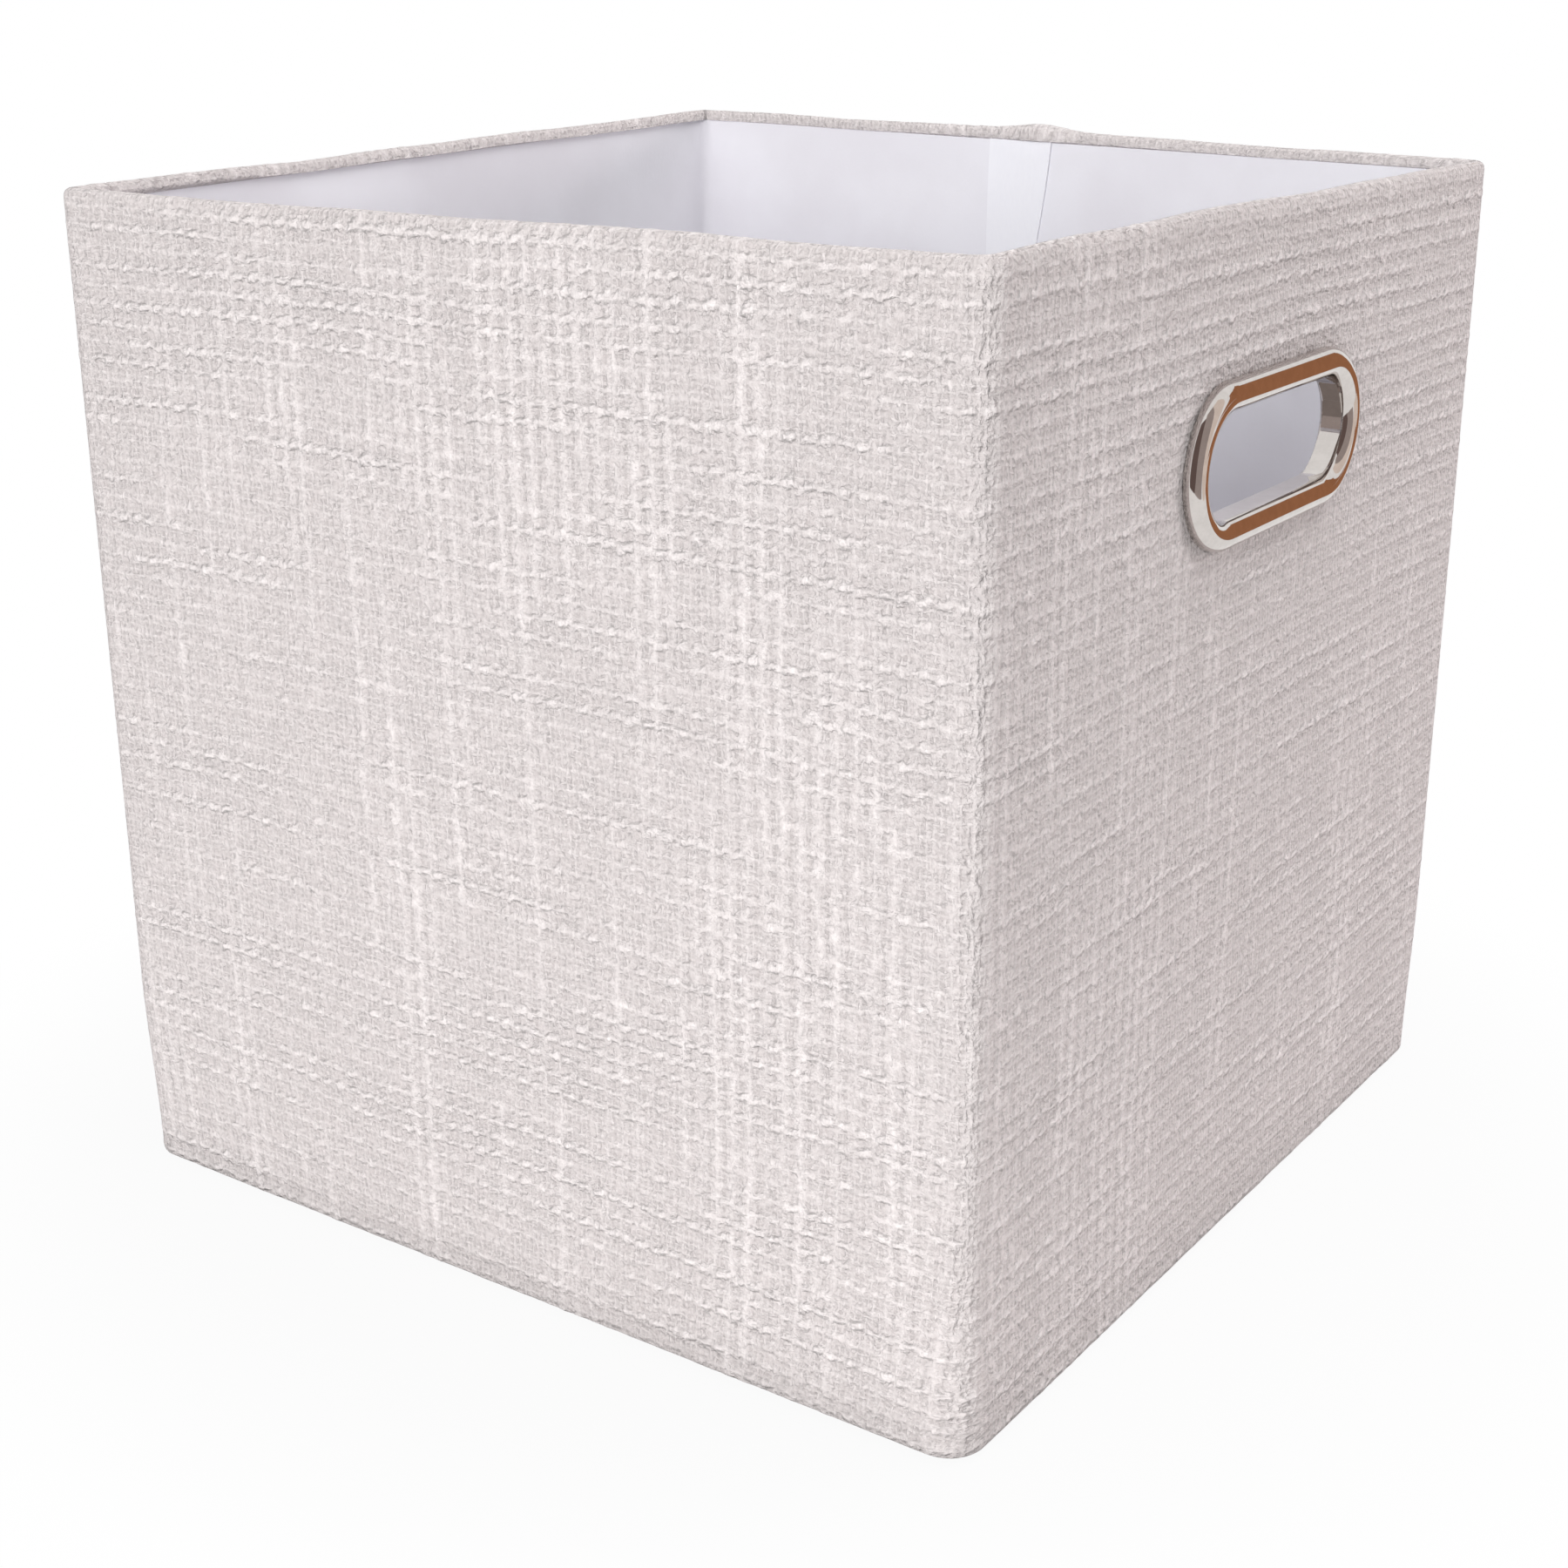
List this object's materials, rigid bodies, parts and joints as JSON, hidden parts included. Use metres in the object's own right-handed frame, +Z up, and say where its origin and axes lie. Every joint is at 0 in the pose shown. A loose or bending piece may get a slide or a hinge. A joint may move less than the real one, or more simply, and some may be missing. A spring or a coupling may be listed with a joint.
{
  "type": "fabric storage bin",
  "caption": "Open cube storage bin of slub-weave cloth over stiff boards, with a white lining, a lift-out base insert and a metal grommet hand hole in opposite walls.",
  "frame": {"origin": "centre of the base, on the surface that the bin stands on", "axes": "+Z up, +X and -X out of the two handle walls, -Y out of the plain front wall, +Y out of the back wall, where the cover is joined"},
  "size_m": [0.34, 0.331, 0.333],
  "materials": {
    "cover_cloth": "greige slub plain weave, matte",
    "lining_cloth": "thin white non-woven lining",
    "lining_tape": "white joint tape",
    "bottom_cloth": "plain non-woven cloth",
    "wall_board": "grey-brown board",
    "bright_metal": "polished nickel plate"
  },
  "bodies": {
    "bin": {"outer_cover": "cover_cloth", "bottom_cloth": "bottom_cloth", "handle_board_right": "wall_board", "handle_board_left": "wall_board", "front_board_right": "wall_board", "front_board_left": "wall_board", "back_board_right": "wall_board", "back_board_left": "wall_board", "lining_walls": "lining_cloth", "lining_floor": "lining_cloth", "lining_joint_strip": "lining_tape", "grommet_ring_right": "bright_metal", "grommet_ring_left": "bright_metal", "grommet_washer_right": "bright_metal", "grommet_washer_left": "bright_metal"},
    "base_insert": {"insert_board": "wall_board", "insert_cover": "lining_cloth"}
  },
  "joints": [
    {"name": "base_insert_lift", "type": "slide", "parent": "bin", "child": "base_insert", "axis": [0, 0, 1], "range_m": [0, 0.36]}
  ]
}
